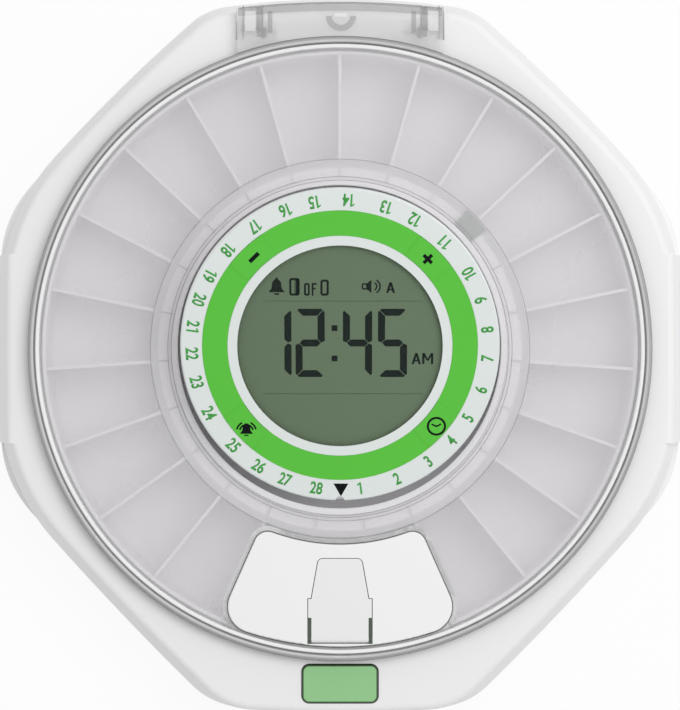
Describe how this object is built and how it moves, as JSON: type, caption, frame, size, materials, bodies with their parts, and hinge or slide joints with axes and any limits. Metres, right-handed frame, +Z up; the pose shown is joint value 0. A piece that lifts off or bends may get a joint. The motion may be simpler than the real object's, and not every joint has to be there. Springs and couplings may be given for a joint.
{
  "type": "automatic pill dispenser",
  "caption": "Octagonal countertop pill dispenser with a clear hinged lid over a motor-turned ring of compartments, a tilted round display with keys, a dispensing flap and a latch button",
  "frame": {"origin": "On the surface the dispenser stands on, on the tray's axis of rotation", "axes": "+Z up; the dispensing flap and green latch button face -Y; the lid's hinge is at +Y; +X to the right as seen from the front"},
  "size_m": [0.225, 0.2351, 0.0559],
  "materials": {
    "housing_white": "satin white plastic with a fine texture",
    "inner_white": "plain white plastic",
    "door_white": "satin white plastic",
    "foot_rubber": "soft dark rubber",
    "screw_steel": "zinc-plated steel",
    "pin_steel": "ground steel",
    "dial_white": "smooth white plastic with a printed number ring",
    "dial_green": "bright green plastic",
    "key_green": "bright green plastic with a printed symbol",
    "window_clear": "clear plastic window",
    "lcd_grey": "grey-green liquid crystal panel",
    "strip_rubber": "striped conductive elastomer",
    "board_green": "green circuit board with solder mask",
    "switch_black": "black plastic switch",
    "speaker_black": "black plastic buzzer case",
    "tray_grey": "smooth pale grey plastic",
    "gear_white": "natural acetal",
    "flag_tint": "tinted clear plastic",
    "motor_metal": "steel motor can on a plastic gearbox",
    "cell_wrap": "printed plastic sleeve with steel ends",
    "contact_steel": "nickel-plated spring steel",
    "lid_clear": "clear plastic with a polished rim",
    "panel_white": "satin white plastic",
    "flap_white": "satin white plastic",
    "button_green": "light green plastic",
    "latch_white": "plain acetal",
    "spring_steel": "spring wire",
    "magnet_black": "coated magnet"
  },
  "bodies": {
    "housing": {"base_shell": "inner_white", "upper_housing": "housing_white", "rubber_feet": "foot_rubber", "housing_screws": "screw_steel", "tray_well": "inner_white", "display_turret": "inner_white", "turret_screws": "screw_steel", "dial_plate": "dial_white", "green_ring": "dial_green", "display_window": "window_clear", "lcd_panel": "lcd_grey", "contact_strips": "strip_rubber", "control_board": "board_green", "board_screws": "screw_steel", "tact_switches": "switch_black", "alarm_speaker": "speaker_black", "gear_motor": "motor_metal", "tray_sensor": "board_green", "battery_cells": "cell_wrap", "battery_contacts": "contact_steel", "latch_guide": "latch_white", "button_springs": "spring_steel", "hinge_pins": "pin_steel"},
    "battery_cover": {"battery_door": "door_white"},
    "tray": {"tray_floor": "tray_grey", "tray_hub": "tray_grey", "tray_rim": "tray_grey", "tray_dividers": "tray_grey", "tray_ring_gear": "gear_white", "home_magnet": "magnet_black", "index_flag": "flag_tint"},
    "pinion": {"drive_pinion": "gear_white", "pinion_shaft": "pin_steel"},
    "lid": {"lid_frame": "lid_clear", "lid_plate": "lid_clear", "dispensing_panel": "panel_white", "flap_pin": "pin_steel"},
    "flap": {"dispensing_flap": "flap_white"},
    "latch_button_body": {"latch_button": "button_green"},
    "latch_slider_body": {"latch_slider": "latch_white"},
    "minus_key": {"key_minus": "key_green"},
    "plus_key": {"key_plus": "key_green"},
    "clock_key": {"key_clock": "key_green"},
    "alarm_key": {"key_alarm": "key_green"}
  },
  "joints": [
    {"name": "lid_hinge", "type": "hinge", "parent": "housing", "child": "lid", "pos_m": [0, 0.1046, 0.028], "axis": [-1, 0, 0], "range_deg": [0, 100]},
    {"name": "flap_hinge", "type": "hinge", "parent": "lid", "child": "flap", "pos_m": [0, -0.0939, 0.0315], "axis": [1, 0, 0], "range_deg": [0, 100]},
    {"name": "tray_spin", "type": "hinge", "parent": "housing", "child": "tray", "pos_m": [0, 0, 0.0086], "axis": [0, 0, 1], "continuous": true},
    {"name": "pinion_spin", "type": "hinge", "parent": "housing", "child": "pinion", "pos_m": [0, 0.0408, 0.0089], "axis": [0, 0, 1], "continuous": true},
    {"name": "latch_press", "type": "slide", "parent": "housing", "child": "latch_button_body", "axis": [0, 0, -1], "range_m": [0, 0.002], "stiffness_N_per_m": 600, "springref_m": -0.0005, "deforming": ["button_springs"]},
    {"name": "latch_slide", "type": "slide", "parent": "housing", "child": "latch_slider_body", "axis": [0, -1, 0], "range_m": [0, 0.002]},
    {"name": "battery_door_hinge", "type": "hinge", "parent": "housing", "child": "battery_cover", "pos_m": [0, 0.0268, 0.0015], "axis": [1, 0, 0], "range_deg": [0, 90]},
    {"name": "key_minus_press", "type": "slide", "parent": "housing", "child": "minus_key", "axis": [0, 0.2164, -0.9763], "range_m": [0, 0.0005], "stiffness_N_per_m": 400, "springref_m": -0.0003},
    {"name": "key_plus_press", "type": "slide", "parent": "housing", "child": "plus_key", "axis": [0, 0.2164, -0.9763], "range_m": [0, 0.0005], "stiffness_N_per_m": 400, "springref_m": -0.0003},
    {"name": "key_clock_press", "type": "slide", "parent": "housing", "child": "clock_key", "axis": [0, 0.2164, -0.9763], "range_m": [0, 0.0005], "stiffness_N_per_m": 400, "springref_m": -0.0003},
    {"name": "key_alarm_press", "type": "slide", "parent": "housing", "child": "alarm_key", "axis": [0, 0.2164, -0.9763], "range_m": [0, 0.0005], "stiffness_N_per_m": 400, "springref_m": -0.0003}
  ],
  "couplings": [
    {"joint": "pinion_spin", "follows": "tray_spin", "ratio": 3.8333},
    {"joint": "latch_slide", "follows": "latch_press", "ratio": 1}
  ]
}
